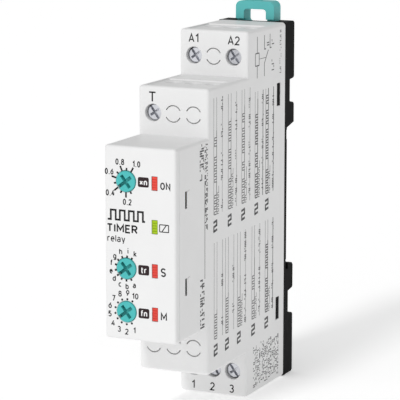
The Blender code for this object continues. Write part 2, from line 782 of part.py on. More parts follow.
def dip_package(name, place, size, offsets, height, plastic):
    """A small package standing on two rows of legs."""
    y, z = place
    low = COMPONENT_X + 0.3
    made = rounded(box((low, low + height), middle(y, size[0]), middle(z, size[1])), 0.2, 1)
    for a, b in offsets:
        inward = math.copysign(1.2, a)
        leg = ordered(y + a - inward, y + a + inward / 5)
        join(made, box(middle(low + 1.4, 0.4), leg, middle(z + b, 0.5)))
    join(made, *leads([(y + a, z + b) for a, b in offsets], low + 1.5, 0.48))
    return finished(made, name, plastic)


def controller(plastic):
    """The surface-mount controller: a flat package with seven gull-wing legs a side."""
    y, z = CONTROLLER
    x = COMPONENT_X
    made = rounded(box((x + 0.15, x + 1.7), middle(y, 4.0), middle(z, 8.7)), 0.15, 1)
    for side in (-1, 1):
        for i in range(7):
            at = z + 1.27 * (i - 3)
            leg = [
                (y + 1.8 * side, x + 0.8),
                (y + 2.5 * side, x + 0.8),
                (y + 2.65 * side, x + 0.25),
                (y + 3.1 * side, x + 0.25),
                (y + 3.1 * side, x + 0.02),
                (y + 2.4 * side, x + 0.02),
                (y + 2.3 * side, x + 0.5),
                (y + 1.8 * side, x + 0.5),
            ]
            join(made, prism([(b, a) for a, b in leg], "z", *middle(at, 0.42)))
    return finished(made, "controller", plastic)


# ---- The assembly -----------------------------------------------------------------------------
def main():
    for obj in list(bpy.data.objects):
        bpy.data.objects.remove(obj)

    white = material("white_plastic", (0.86, 0.86, 0.85), 0.45)
    black = material("black_plastic", (0.018, 0.018, 0.019), 0.5)
    teal = material("teal_plastic", (0.06, 0.46, 0.45), 0.35)
    red = material("red_lens", (0.78, 0.05, 0.04), 0.25)
    green = material("green_lens", (0.36, 0.62, 0.03), 0.25)
    steel = material("plated_steel", (0.62, 0.63, 0.66), 0.28, 1.0)
    brass = material("tinned_brass", (0.72, 0.66, 0.5), 0.3, 1.0)
    laminate = material("board_laminate", (0.03, 0.22, 0.09), 0.5)
    dark = material("component_plastic", (0.03, 0.03, 0.035), 0.4)
    blue = material("trimmer_blue", (0.05, 0.16, 0.5), 0.45)
    sleeve = material("capacitor_sleeve", (0.02, 0.03, 0.09), 0.3)
    yellow = material("film_yellow", (0.75, 0.5, 0.06), 0.45)
    ferrite = material("ferrite", (0.09, 0.085, 0.08), 0.6)
    coating = material("resistor_coating", (0.2, 0.34, 0.4), 0.5)
    epoxy = material("varistor_coating", (0.05, 0.2, 0.55), 0.5)

    housing(white)
    front_cover(white)
    rail_base(black)
    rail_clip(teal)
    clip_spring(steel)

    for name, z in KNOB_Z.items():
        knob(name + "_knob", z, teal)
        trimmer(name + "_trimmer", z, blue)
    for name, z in LED_Z.items():
        led(name + "_led", z, green if name == "supply" else red)

    for name, column, step, side in TERMINALS:
        place = terminal_place(column, step, side)
        terminal_screw("screw_" + name, place, steel)
        terminal_cage("cage_" + name, place, steel)
        terminal_lug("lug_" + name, place, side, LUG_REACH[name], brass)

    main_board(laminate)
    front_board(laminate)
    board_header(dark)
    relay(dark)
    can_capacitor("bulk_capacitor", BULK_CAP, sleeve, 3.5)
    can_capacitor("small_capacitor", SMALL_CAP, sleeve, 2.0)
    film_capacitor(yellow)
    inductor(ferrite)
    varistor(epoxy)
    fusible_resistor(coating)
    dip_package("optocoupler", OPTO, (6.4, 4.6), OPTO_LEGS, 3.2, dark)
    dip_package("bridge_rectifier", RECTIFIER, (4.0, 4.7), RECTIFIER_LEGS, 2.4, dark)
    controller(dark)


main()
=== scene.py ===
"""Looks of the DIN rail timer: finer visible mouldings, printing, materials, light and camera.

Lengths are in millimetres from the front panel's face (y = 0), and metre() turns them into the
row frame: X is the width, +Y points back at the rail, +Z is up and the rail seat is the origin.
"""

import math
import random

import bmesh
import bpy
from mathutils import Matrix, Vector


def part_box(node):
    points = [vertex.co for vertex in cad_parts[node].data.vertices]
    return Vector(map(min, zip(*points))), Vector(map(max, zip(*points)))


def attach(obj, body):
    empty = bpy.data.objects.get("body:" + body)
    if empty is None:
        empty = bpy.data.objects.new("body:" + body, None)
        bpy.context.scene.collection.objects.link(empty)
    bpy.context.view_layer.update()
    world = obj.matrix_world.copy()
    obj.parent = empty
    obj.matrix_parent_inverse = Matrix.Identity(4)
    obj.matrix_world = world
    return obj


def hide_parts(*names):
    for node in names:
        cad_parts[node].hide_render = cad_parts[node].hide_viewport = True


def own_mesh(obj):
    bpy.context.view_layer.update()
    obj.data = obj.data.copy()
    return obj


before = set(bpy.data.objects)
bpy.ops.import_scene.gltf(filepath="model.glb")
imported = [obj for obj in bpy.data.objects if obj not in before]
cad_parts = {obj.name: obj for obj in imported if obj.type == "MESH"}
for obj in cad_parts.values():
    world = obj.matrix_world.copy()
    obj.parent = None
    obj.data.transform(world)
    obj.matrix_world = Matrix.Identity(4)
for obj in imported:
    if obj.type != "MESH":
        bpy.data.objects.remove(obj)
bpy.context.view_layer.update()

# ---- Dimensions, mm, as in the CAD ------------------------------------------------------------
WIDTH = 18.0
HALF = WIDTH / 2
SEAT_Y = -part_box("front_cover")[0].y * 1000  # rail seat, behind the front panel
CASE_BACK_Y = 63.0
NOSE_Y = 1.9  # where the front cover meets the housing
STEP_Y = (17.5, 40.0)  # front faces of the inner and outer terminal rows
PANEL_HALF, INNER_HALF, OUTER_HALF = 22.5, 34.0, 45.0  # half heights of the three steps
WALL_SIDE, WALL = 1.3, 1.5
INSIDE = HALF - WALL_SIDE
CORNER = 0.8
GAP = 0.1

TERMINAL_PITCH = 5.2
TERMINAL_DROP = 6.3  # terminal axis below the shelf above it
SCREW_HOLE_R = 2.05
WIRE_SETBACK = 11.1  # wire entry behind its row's front face
GUIDE_DEPTH = 3.7
POCKET_DEPTH = 0.4

CONTROL_X = -3.5
KNOB_Z = {"time": 14.4, "range": -5.8, "function": -15.9}
KNOB_R, KNOB_HOLE_R = 2.4, 2.5
POINTER_REST = 217.5  # degrees, seen from the front, from +X towards +Z
LED_X = 3.7
LED_Z = {"output": 14.4, "supply": 4.4, "seconds": -5.8, "minutes": -15.9}
LED_SIZE = (1.35, 3.1)
LED_LEADS = (-1.27, 1.27)

# Each terminal that is fitted: column (-1, 0, 1), row step (0 inner, 1 outer), up or down
TERMINALS = {
    "t": (-1, 0, 1),
    "a1": (-1, 1, 1),
    "a2": (1, 1, 1),
    "1": (-1, 1, -1),
    "2": (0, 1, -1),
    "3": (1, 1, -1),
}
ROWS = tuple((step, side) for step in (0, 1) for side in (1, -1))

FRONT_SLOT_Y, FRONT_SLOT_Z = (4.95, 5.95), (8.1, 12.1)
REAR_SLOT_Y = (57.9, 60.1)
REAR_SLOT_Z = ((24.8, 30.5), (-29.35, -23.55))
ARM_LENGTH = 1.2  # of a front snap arm along z, at the top of its window

BACK_Y = 69.0
CHEEK_X = 5.35  # inner face of the rail base's cheeks
RAIL_SLOT = (-17.6, 18.5)  # recess that takes the 35 mm rail
EDGE_GROOVE_Y = (SEAT_Y - 0.25, SEAT_Y + 0.6)  # grooves beside the hooks, clear of the rail's edges
EDGE_GROOVE_Z = ((15.7, 18.05), (-17.55, -15.0))
NOTCH_DEPTH = 2.7
LIP_SLOT = 1.3  # takes the rail's lower lip
HOOK_TIP, HOOK_FOOT = -16.2, -24.5
RIB, RIB_Z = 1.2, (-30.0, -36.5, -43.8)  # ribs that stiffen the lower block
GUIDE_Y, RUNNER_Y = (66.0, 67.7), (66.25, 67.45)  # grooves in the cheeks, and the clip's runners
CLIP_Y, HANDLE_Y = (65.7, 69.0), (64.7, 68.9)
STOP_Z = (37.0, 39.8)
SPRING_Y, SPRING_R, SPRING_WIRE, SPRING_TURNS = 67.25, 1.1, 0.2, 7
SPRING_Z = (25.4, 36.8)
FAR = 60  # past the whole object, for cutters


def metre(x, y, z):
    """A point in the row frame, metres, from case millimetres."""
    return Vector((x, y - SEAT_Y, z)) * 0.001


# ---- Solids -----------------------------------------------------------------------------------
def object_from(bm, name, recalc=True):
    if recalc:
        bmesh.ops.recalc_face_normals(bm, faces=bm.faces)
    mesh = bpy.data.meshes.new(name)
    bm.to_mesh(mesh)
    bm.free()
    obj = bpy.data.objects.new(name, mesh)
    bpy.context.scene.collection.objects.link(obj)
    return obj


def prism(outline, axis, low, high):
    """An outline in the other two axes, in their X, Y, Z order, extruded along axis."""

    def point(a, b, along):
        order = {"x": (along, a, b), "y": (a, along, b), "z": (a, b, along)}
        return metre(*order[axis])

    bm = bmesh.new()
    face = bm.faces.new([bm.verts.new(point(a, b, low)) for a, b in outline])
    moved = bmesh.ops.extrude_face_region(bm, geom=[face])["geom"]
    shift = point(0, 0, high) - point(0, 0, low)
    bmesh.ops.translate(bm, vec=shift, verts=[v for v in moved if isinstance(v, bmesh.types.BMVert)])
    return object_from(bm, "shape")


def box(x, y, z):
    """A box from its (low, high) ranges."""
    outline = [(y[0], z[0]), (y[1], z[0]), (y[1], z[1]), (y[0], z[1])]
    return prism(outline, "x", x[0], x[1])


def middle(centre, size):
    return (centre - size / 2, centre + size / 2)


def ordered(a, b):
    return (min(a, b), max(a, b))


def turned(profile, at, axis="y", segments=64):
    """A turned solid about an axis through at. profile runs along it as (distance, radius)."""
    bm = bmesh.new()
    rings = []
    for along, radius in profile:
        ring = []
        for i in range(segments):
            angle = math.tau * (i + 0.5) / segments
            a, b = radius * math.cos(angle), radius * math.sin(angle)
            order = {"x": (along, a, b), "y": (a, along, b), "z": (a, b, along)}
            ring.append(bm.verts.new(metre(*(p + q for p, q in zip(order[axis], at)))))
        rings.append(ring)
    for one, two in zip(rings, rings[1:]):
        for i in range(segments):
            j = (i + 1) % segments
            bm.faces.new((one[i], one[j], two[j], two[i]))
    bm.faces.new(rings[0])
    bm.faces.new(rings[-1])
    return object_from(bm, "shape")


def settle(obj):
    """Turns the object's modifiers into its mesh."""
    graph = bpy.context.evaluated_depsgraph_get()
    graph.update()
    mesh = bpy.data.meshes.new_from_object(obj.evaluated_get(graph))
    obj.modifiers.clear()
    obj.data = mesh


def boolean(obj, others, operation):
    """Works the other shapes into obj one by one and deletes them."""
    for other in others:
        step = obj.modifiers.new(operation.lower(), "BOOLEAN")
        step.operation = operation
        step.solver = "EXACT"
        step.object = other
        settle(obj)
        bpy.data.objects.remove(other)
    return obj


def join(obj, *others):
    return boolean(obj, others, "UNION")


def cut(obj, *others):
    return boolean(obj, others, "DIFFERENCE")


def rounded(obj, radius, segments, angle=40):
    """Rounds every edge sharper than angle, degrees."""
    bevel = obj.modifiers.new("edges", "BEVEL")
    bevel.width = radius * 0.001
    bevel.segments = segments
    bevel.limit_method = "ANGLE"
    bevel.angle_limit = math.radians(angle)
    settle(obj)
    return obj


def oval(a, b, across, up, first=0, last=360, steps=14):
    """Points round (a, b), from the first angle to the last, degrees."""
    angles = [math.radians(first + (last - first) * i / steps) for i in range(steps + 1)]
    return [(a + across * math.cos(t), b + up * math.sin(t)) for t in angles]


def arc(centre, radius, first, last, steps):
    return oval(*centre, radius, radius, first, last, steps)


def plate_outline(a, b, width, height, radius, steps):
    """A rectangle about (a, b) with rounded corners."""
    x, z = width / 2 - radius, height / 2 - radius
    outline = []
    for right, up, first in ((1, 1, 0), (-1, 1, 90), (-1, -1, 180), (1, -1, 270)):
        outline += arc((a + right * x, b + up * z), radius, first, first + 90, steps)
    return outline


def shade(mesh, sharp):
    """Smooth shading, except at edges sharper than sharp degrees."""
    mesh.shade_smooth()
    mesh.set_sharp_from_angle(angle=math.radians(sharp))


def smooth(obj):
    """Smooth shading with flat faces kept flat beside their rounded edges."""
    shade(obj.data, 32)
    weighted = obj.modifiers.new("flats", "WEIGHTED_NORMAL")
    weighted.keep_sharp = True
    weighted.weight = 60
    settle(obj)
    return obj


def piece(obj, name, material, body, replaced=None):
    """Names a finished piece, paints it, sets the body it rides on and hides the node it replaces."""
    obj.name = obj.data.name = name
    obj.data.materials.clear()
    obj.data.materials.append(material)
    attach(obj, body)
    if replaced:
        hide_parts(replaced)
    return obj


# ---- Materials --------------------------------------------------------------------------------
def shader_of(material):
    return next(n for n in material.node_tree.nodes if n.type == "BSDF_PRINCIPLED")


class Nodes:
    """A material's nodes, with one method for each small group that the finishes are made of."""

    def __init__(self, material):
        self.tree = material.node_tree

    def add(self, kind, **inputs):
        node = self.tree.nodes.new(kind)
        for key, value in inputs.items():
            node.inputs[key.replace("_", " ")].default_value = value
        return node

    def link(self, source, target):
        self.tree.links.new(source, target)

    def noise(self, size, detail):
        """Noise whose features are about size millimetres across, in the object's own space."""
        made = self.add("ShaderNodeTexNoise", Scale=1000 / size, Detail=detail)
        self.link(self.add("ShaderNodeTexCoord").outputs["Object"], made.inputs["Vector"])
        return made.outputs["Fac"]

    def ranged(self, source, low, high):
        """The middle of a noise's range, spread from low to high."""
        made = self.add("ShaderNodeMapRange", From_Min=0.3, From_Max=0.7, To_Min=low, To_Max=high)
        self.link(source, made.inputs["Value"])
        return made.outputs["Result"]

    def tinted(self, source, dark, light):
        mix = self.add("ShaderNodeMix")
        mix.data_type = "RGBA"
        factor, first, second = mix.inputs[0], mix.inputs[6], mix.inputs[7]
        first.default_value = (*dark, 1)
        second.default_value = (*light, 1)
        self.link(source, factor)
        return mix.outputs[2]

    def relief(self, *layers):
        """A stack of bumps, each a (height, depth in millimetres) pair."""
        last = None
        for height, depth in layers:
            bump = self.add("ShaderNodeBump", Strength=1.0, Distance=depth * 0.001)
            self.link(height, bump.inputs["Height"])
            if last:
                self.link(last, bump.inputs["Normal"])
            last = bump.outputs["Normal"]
        return last


def material(name, colour, rough, grain, depth, clouds_and_reflection=0.05, spread=0.04, metallic=0.0, specular=None):
    """A moulded or plated surface: fine grain, and faint cloudiness in its colour and gloss.

    grain is the size of its texture and depth its height, mm. cloudy is how much the colour darkens in
    clouds:
    random tone on the plastics, and painted reflection on the plated steel, where the strong clouds
    stand in for dark reflections on the metal. spread is how far the roughness strays.
    """
    made = bpy.data.materials.new(name)
    made.use_nodes = True
    shader = shader_of(made)
    shader.inputs["Metallic"].default_value = metallic
    if specular is not None:
        shader.inputs["Specular IOR Level"].default_value = specular
    nodes = Nodes(made)
    darker = tuple(c * (1 - clouds_and_reflection) for c in colour)
    # clouds of darker colour: random tone, and on the plated steel painted reflection
    cloud_and_reflection_mask = nodes.ranged(nodes.noise(7.0, 4), 0, 1)
    nodes.link(nodes.tinted(cloud_and_reflection_mask, darker, colour), shader.inputs["Base Color"])
    gloss = nodes.ranged(nodes.noise(2.2, 5), rough - spread, rough + spread)
    nodes.link(gloss, shader.inputs["Roughness"])
    bumps = nodes.relief((nodes.noise(5.0, 2), depth * 2), (nodes.noise(grain, 3), depth))
    nodes.link(bumps, shader.inputs["Normal"])
    made.diffuse_color = (*colour, 1)
    return made


def matte(name, colour, rough, specular, grain, clouds_and_reflection):
    return material(name, colour, rough, grain, 0.002, clouds_and_reflection, specular=specular)


def printed(name, colour):
    return matte(name, colour, 0.6, 0.1, 0.12, 0.15)


def make_materials():
    white, laminate, dark = (0.81, 0.81, 0.81), (0.02, 0.2, 0.07), (0.025, 0.025, 0.028)
    plated = {"spread": 0.08, "metallic": 1.0}
    tinned = {"spread": 0.07, "metallic": 1.0}
    return {
        "white": material("white_plastic", white, 0.42, grain=0.16, depth=0.0022, clouds_and_reflection=0.02),
        "black": matte("black_plastic", (0.0095, 0.0095, 0.0098), 0.5, 0.02, grain=0.2, clouds_and_reflection=0.25),
        "teal": matte("teal_plastic", (0.075, 0.5, 0.495), 0.42, 0.22, grain=0.18, clouds_and_reflection=0.07),
        "clip": matte("clip_plastic", (0.12, 0.52, 0.515), 0.42, 0.15, grain=0.18, clouds_and_reflection=0.06),
        "red": matte("red_lens", (0.78, 0.07, 0.05), 0.25, 0.25, grain=0.3, clouds_and_reflection=0.15),
        "green": matte("green_lens", (0.38, 0.56, 0.015), 0.25, 0.2, grain=0.3, clouds_and_reflection=0.12),
        # The plated steel's strong clouds of darker colour are painted reflection, standing in for dark
        # reflections on the metal.
        "steel": material("plated_steel", (0.66, 0.67, 0.71), 0.27, 0.12, 0.003, 0.3, **plated),
        "brass": material("tinned_brass", (0.74, 0.7, 0.58), 0.3, 0.12, 0.002, 0.15, **tinned),
        "laminate": material("board_laminate", laminate, 0.35, grain=0.3, depth=0.003, clouds_and_reflection=0.3),
        "dark": material("component_plastic", dark, 0.5, grain=0.1, depth=0.004, clouds_and_reflection=0.2),
        "blue": material("trimmer_blue", (0.03, 0.12, 0.5), 0.4, grain=0.15, depth=0.003),
        "sleeve": material("capacitor_sleeve", (0.015, 0.02, 0.07), 0.28, grain=0.8, depth=0.003),
        "yellow": material("film_yellow", (0.75, 0.48, 0.05), 0.32, grain=0.5, depth=0.004),
        "ferrite": material("ferrite", (0.06, 0.058, 0.055), 0.6, grain=0.08, depth=0.006, clouds_and_reflection=0.3),
        "resistor": material("resistor_coating", (0.2, 0.34, 0.4), 0.5, grain=0.12, depth=0.005),
        "varistor": material("varistor_coating", (0.04, 0.17, 0.5), 0.35, grain=0.5, depth=0.006),
        "ink": printed("print_ink", (0.02, 0.02, 0.021)),
        "faint_ink": printed("side_ink", (0.12, 0.12, 0.123)),
        "plate": printed("label_plate", (0.035, 0.022, 0.024)),
        "letter": printed("plate_letter", (0.9, 0.9, 0.9)),
    }


# ---- Housing ----------------------------------------------------------------------------------
def row_place(step, side):
    """Front face y, shelf z and terminal axis z of a row."""
    shelf = (INNER_HALF, OUTER_HALF)[step] * side
    return STEP_Y[step], shelf, shelf - TERMINAL_DROP * side


def is_fitted(column, step, side):
    return (column, step, side) in TERMINALS.values()


def knockout_slot(x, face_y, z, first):
    """A shallow arc groove; two of them leave a disc that a screwdriver can push out."""
    inner, outer, depth, last = 1.78, 2.08, 0.9, first + 130
    outline = arc((x, z), outer, first, last, 20)
    outline += reversed(arc((x, z), inner, first, last, 20))
    return prism(outline, "y", face_y - 1, face_y + depth)


def screw_well(x, face_y, z, fitted):
    """The access hole of a terminal; a fitted one has a shoulder for its screw's head."""
    back = face_y + GUIDE_DEPTH + 0.2
    if not fitted:
        return turned([(face_y + WALL, SCREW_HOLE_R), (back, SCREW_HOLE_R)], (x, 0, z), "y", 24)
    shoulder, shank_r, ease = face_y + 3.0, 1.45, 0.1
    profile = [
        (face_y - 1, SCREW_HOLE_R + 1 + ease),
        (face_y + ease, SCREW_HOLE_R),
        (shoulder, SCREW_HOLE_R),
        (shoulder, shank_r),
        (back, shank_r),
    ]
    return turned(profile, (x, 0, z))


def wire_funnel(x, y, shelf, side):
    mouth, hole, depth = 2.25, 1.6, 1.0
    floor = shelf - POCKET_DEPTH * side
    bend = arc((0, 0), 1, 90, 0, 5)  # the funnel's wall curves from the floor into the hole
    profile = [(floor + side, mouth)]
    profile += [(floor - depth * side * (1 - s), hole + (mouth - hole) * (1 - c)) for c, s in bend]
    profile += [(floor - 3 * side, hole)]
    return turned(profile, (x, y, 0), "z", 48)


def front_slot_z(side):
    return ordered(FRONT_SLOT_Z[0] * side, FRONT_SLOT_Z[1] * side)


def front_slots():
    """The front cover's snap windows: narrow at the surface, cut back inside, hooked at the top."""
    near, far = FRONT_SLOT_Y
    lip, inner = HALF - 0.12, INSIDE - 0.5
    made = []
    for x in (-1, 1):
        outline = [(HALF + 1, near), (HALF + 1, far), (lip, far), (inner, far + 3.6), (inner, near)]
        outline = [(a * x, b) for a, b in outline]
        for z in (-1, 1):
            low, high = front_slot_z(z)
            hook = [(near, high - 0.6), (far + 1.3, high), (far + 1.3, high + 0.3), (near, high)]
            made.append(prism(outline, "z", low, high))
            made.append(prism(hook, "x", *ordered(lip * x, (HALF + 1) * x)))
    return made


def rear_slots():
    """The rail base's snap windows."""
    ranges = [ordered((INSIDE - 0.5) * x, (HALF + 1) * x) for x in (-1, 1)]
    return [box(x_range, REAR_SLOT_Y, z_range) for x_range in ranges for z_range in REAR_SLOT_Z]


def terminal_row(shell, step, side):
    """A row's screw guide, partitions, wire entries, screw wells and knock-outs."""
    face, shelf, axis = row_place(step, side)
    join(shell, box((-INSIDE - 0.2, INSIDE + 0.2), (face + 1.2, face + GUIDE_DEPTH), middle(axis, 6)))
    for x in (-TERMINAL_PITCH / 2, TERMINAL_PITCH / 2):
        ends = ordered(axis - 2.6 * side, shelf - side)
        join(shell, box(middle(x, 0.4), (face + GUIDE_DEPTH - 0.3, face + 13.6), ends))
    pocket_z = ordered(shelf - POCKET_DEPTH * side, shelf + side)
    cut(shell, rounded(box((-INSIDE, INSIDE), (face + 1.4, face + 14), pocket_z), 0.3, 3))
    for column in (-1, 0, 1):
        x = column * TERMINAL_PITCH
        fitted = is_fitted(column, step, side)
        cut(shell, wire_funnel(x, face + WIRE_SETBACK, shelf, side), screw_well(x, face, axis, fitted))
        if not fitted:
            cut(shell, *[knockout_slot(x, face, axis, a) for a in (25, 205)])


def make_housing(paint):
    spans = (
        (NOSE_Y - 2, STEP_Y[0] + 2, PANEL_HALF),
        (STEP_Y[0], STEP_Y[1] + 2, INNER_HALF),
        (STEP_Y[1], CASE_BACK_Y + 2, OUTER_HALF),
    )
    shell, *rest = [
        rounded(box((-HALF, HALF), (front, back), (-half, half)), CORNER, 5)
        for front, back, half in spans
    ]
    join(shell, *rest)
    cut(shell, *[box((-FAR, FAR), ends, (-FAR, FAR)) for ends in ((-5, NOSE_Y), (CASE_BACK_Y, 70))])
    hollow_fronts = (0, STEP_Y[0] + WALL, STEP_Y[1] + WALL)
    for front, (_, back, half) in zip(hollow_fronts, spans):
        cut(shell, box((-INSIDE, INSIDE), (front, back + 1), (WALL - half, half - WALL)))
    for step, side in ROWS:
        terminal_row(shell, step, side)
    cut(shell, *front_slots(), *rear_slots())
    return piece(smooth(shell), "housing_shell", paint["white"], "timer", "housing")


# ---- Front cover ------------------------------------------------------------------------------
def snap_arm(side, z_range, root_y, tip_y, barb_y, barb_out, flat):
    """A snap arm along a side wall; flat is the share of its barb before the ramp."""
    outer, inner = INSIDE - 0.15, INSIDE - 1.15
    arm = box(ordered(inner * side, outer * side), ordered(root_y, tip_y), z_range)
    catch, end = barb_y
    crest = catch + (end - catch) * flat
    barb = [
        ((outer - 0.3) * side, catch),
        ((outer + barb_out) * side, catch),
        ((outer + barb_out) * side, crest),
        (outer * side, end),
        ((outer - 0.3) * side, end),
    ]
    return join(arm, prism(barb, "z", *z_range))


def collar(y_range, half_z):
    """The rim of a cover that plugs into the housing."""
    outer, thick = INSIDE - 0.15, 0.95
    rim = box((-outer, outer), y_range, (-half_z, half_z))
    inner = (y_range[0] - 1, y_range[1] + 1)
    return cut(rim, box((thick - outer, outer - thick), inner, (thick - half_z, half_z - thick)))


def knob_hole(z):
    """A cutter for a knob's hole and its eased rim."""
    ease = 0.14
    profile = [(-1, KNOB_HOLE_R + 1 + ease), (ease, KNOB_HOLE_R), (3, KNOB_HOLE_R)]
    return turned(profile, (CONTROL_X, 0, z), "y", 96)


def make_front_cover(paint):
    plate = 1.2
    cover = rounded(box((-HALF, HALF), (0, 6), (-PANEL_HALF, PANEL_HALF)), 0.65, 6)
    cut(cover, box((-FAR, FAR), (NOSE_Y - GAP, 9), (-FAR, FAR)))
    cut(cover, box((-7.9, 7.9), (plate, 9), (-21.3, 21.3)))
    join(cover, collar((plate - 0.2, 4.2), PANEL_HALF - WALL - 0.15))
    for x in (-1, 1):
        for z in (-1, 1):
            top = front_slot_z(z)[1] - 2 * GAP
            barb = (FRONT_SLOT_Y[0] + GAP, FRONT_SLOT_Y[1] - GAP)
            join(cover, snap_arm(x, (top - ARM_LENGTH, top), 3.8, 6.3, barb, 0.6, 0.4))
    cut(cover, *[knob_hole(z) for z in KNOB_Z.values()])
    for z in LED_Z.values():
        width, height = (size + 2 * GAP for size in LED_SIZE)
        cut(cover, rounded(box(middle(LED_X, width), (-1, 3), middle(z, height)), 0.1, 3))
    smooth(cover)
    return piece(cover, "front_cover_shell", paint["white"], "timer", "front_cover")


# ---- Rail base and clip -----------------------------------------------------------------------
def cheek_outline():
    """The rail base's side profile in (y, z): blocks, notches and teeth around the rail recess."""
    root, back, notch = SEAT_Y - 0.6, BACK_Y, BACK_Y - NOTCH_DEPTH
    low, high = RAIL_SLOT
    return [
        (root, OUTER_HALF),
        (back - 0.5, OUTER_HALF),
        (back, OUTER_HALF - 0.5),
        (back, 31.1),
        (back - 0.4, 30.7),
        (notch, 30.5),
        (notch, 25.0),
        (back - 0.5, 24.6),
        (back, 24.1),
        (back, high + 1.0),
        (SEAT_Y, high),
        (SEAT_Y, low),
        (SEAT_Y + LIP_SLOT, low),
        (SEAT_Y + LIP_SLOT, HOOK_TIP),
        (back - 0.6, HOOK_TIP - 0.3),
        (back, HOOK_TIP - 0.9),
        (back, -22.7),
        (back - 0.4, -23.1),
        (notch - 0.3, -23.5),
        (notch - 0.3, -28.9),
        (back - 0.4, -29.6),
        (back, -30.0),
        (back, 0.5 - OUTER_HALF),
        (back - 0.5, -OUTER_HALF),
        (root, -OUTER_HALF),
    ]


def make_rail_base(paint):
    plate_y = (CASE_BACK_Y + GAP, SEAT_Y)
    base = box((-HALF, HALF), plate_y, (-OUTER_HALF, OUTER_HALF))
    for side in (-1, 1):
        cheek = rounded(prism(cheek_outline(), "x", *ordered(CHEEK_X * side, HALF * side)), 0.14, 3, 20)
        cut(cheek, box(ordered(0, 6.35 * side), GUIDE_Y, (19.0, 50)))
        join(base, cheek)
    low = RAIL_SLOT[0]
    hook = [
        (SEAT_Y - 0.5, low),
        (SEAT_Y + 1.2, low),
        (SEAT_Y + 1.2, low + 2.0),
        (SEAT_Y + 2.4, low + 2.0),
        (BACK_Y - 0.4, low + 0.6),
        (BACK_Y - 0.4, HOOK_FOOT),
        (SEAT_Y - 0.5, HOOK_FOOT),
    ]
    join(base, rounded(prism(hook, "x", -CHEEK_X - 0.3, CHEEK_X + 0.3), 0.1, 3, 20))
    for z in RIB_Z:
        rib = box((-CHEEK_X - 0.3, CHEEK_X + 0.3), (SEAT_Y - 0.5, BACK_Y - 0.8), middle(z, RIB))
        join(base, rounded(rib, 0.12, 3))
    join(base, rounded(box(middle(0, RIB), (SEAT_Y - 0.5, BACK_Y - 1.2), (-44, -24)), 0.12, 3))
    join(base, rounded(box((-1.4, 1.4), (SEAT_Y - 0.5, 68.4), STOP_Z), 0.15, 3))
    for groove_z in EDGE_GROOVE_Z:
        cut(base, box((-HALF - 1, HALF + 1), EDGE_GROOVE_Y, groove_z))
    join(base, collar((59.4, CASE_BACK_Y + 0.4), OUTER_HALF - WALL - 0.15))
    barb = (REAR_SLOT_Y[1] - GAP, REAR_SLOT_Y[0] + GAP)
    for x in (-1, 1):
        for low, high in REAR_SLOT_Z:
            join(base, snap_arm(x, (low + GAP, high - GAP), 62.0, 57.4, barb, 1.35, 0.8))
    return piece(smooth(base), "rail_base_shell", paint["black"], "timer", "rail_base")


def make_rail_clip(paint):
    """The sliding clip: pull loop on top, spring window, side runners and the tooth."""
    half, top, tip, radius = 5.2, 49.8, 15.9, 1.5
    shoulders = arc((half - radius, top - radius), radius, 0, 90, 10)
    shoulders += arc((radius - half, top - radius), radius, 90, 180, 10)
    clip = prism([(-half, tip), (half, tip)] + shoulders, "y", *CLIP_Y)
    handle_low = OUTER_HALF + 0.3
    handle = prism([(-half, handle_low), (half, handle_low)] + shoulders, "y", *HANDLE_Y)
    join(clip, handle)
    through = (60, 75)
    cut(clip, prism(plate_outline(0, 46.15, 5.9, 3.3, 0.8, 8), "y", *through))
    cut(clip, box(middle(0, 3.2), through, (SPRING_Z[0] - 0.2, STOP_Z[1] + 0.2)))
    rounded(clip, 0.22, 4, 50)
    front, back = CLIP_Y[0] + 1.3, CLIP_Y[1] + 1  # of the tooth's slope, which rides up on the rail
    slope = [(back, tip - 1), (back, tip + 3.6), (front, tip - 0.001), (front, tip - 1)]
    cut(clip, prism(slope, "x", -HALF, HALF))
    for side in (-1, 1):
        runner = box(ordered((half - 0.3) * side, 6.15 * side), RUNNER_Y, (20.0, 43.6))
        join(clip, rounded(runner, 0.1, 2))
    join(clip, rounded(box((-3.6, 0.6), (67.3, 68.7), (top - 0.4, top + 0.5)), 0.2, 4))
    return piece(smooth(clip), "rail_clip_shell", paint["clip"], "clip", "rail_clip")


def make_spring(paint):
    """The clip's compression spring, as a helix with closed end turns."""
    steps = 28
    low, high = SPRING_Z[0] + SPRING_WIRE + 0.05, SPRING_Z[1] - SPRING_WIRE - 0.05
    count = SPRING_TURNS * steps
    curve = bpy.data.curves.new("spring_wire", "CURVE")
    curve.dimensions = "3D"
    curve.bevel_depth = SPRING_WIRE * 0.001
    curve.bevel_resolution = 3
    curve.use_fill_caps = True
    line = curve.splines.new("POLY")
    line.points.add(count)
    for i, point in enumerate(line.points):
        share = i / count
        eased = share - 0.08 * math.sin(math.tau * share)
        angle = math.tau * i / steps
        x, y = SPRING_R * math.cos(angle), SPRING_Y + SPRING_R * math.sin(angle)
        point.co = (*metre(x, y, low + (high - low) * eased), 1)
    made = bpy.data.objects.new("spring_wire", curve)
    bpy.context.scene.collection.objects.link(made)
    graph = bpy.context.evaluated_depsgraph_get()
    mesh = bpy.data.meshes.new_from_object(made.evaluated_get(graph))
    bpy.data.objects.remove(made)
    spring = bpy.data.objects.new("clip_spring_coil", mesh)
    bpy.context.scene.collection.objects.link(spring)
    mesh.shade_smooth()
    piece(spring, "clip_spring_coil", paint["steel"], "timer", "clip_spring")
    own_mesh(spring)


# ---- Controls and terminals -------------------------------------------------------------------
def bar(at, angle, start, end, width, y_range):
    """A slot cutter in the XZ plane along a direction."""
    c, s = math.cos(math.radians(angle)), math.sin(math.radians(angle))
    corners = ((start, -width / 2), (end, -width / 2), (end, width / 2), (start, width / 2))
    outline = [(at[0] + u * c - v * s, at[1] + u * s + v * c) for u, v in corners]
    return prism(outline, "y", *y_range)


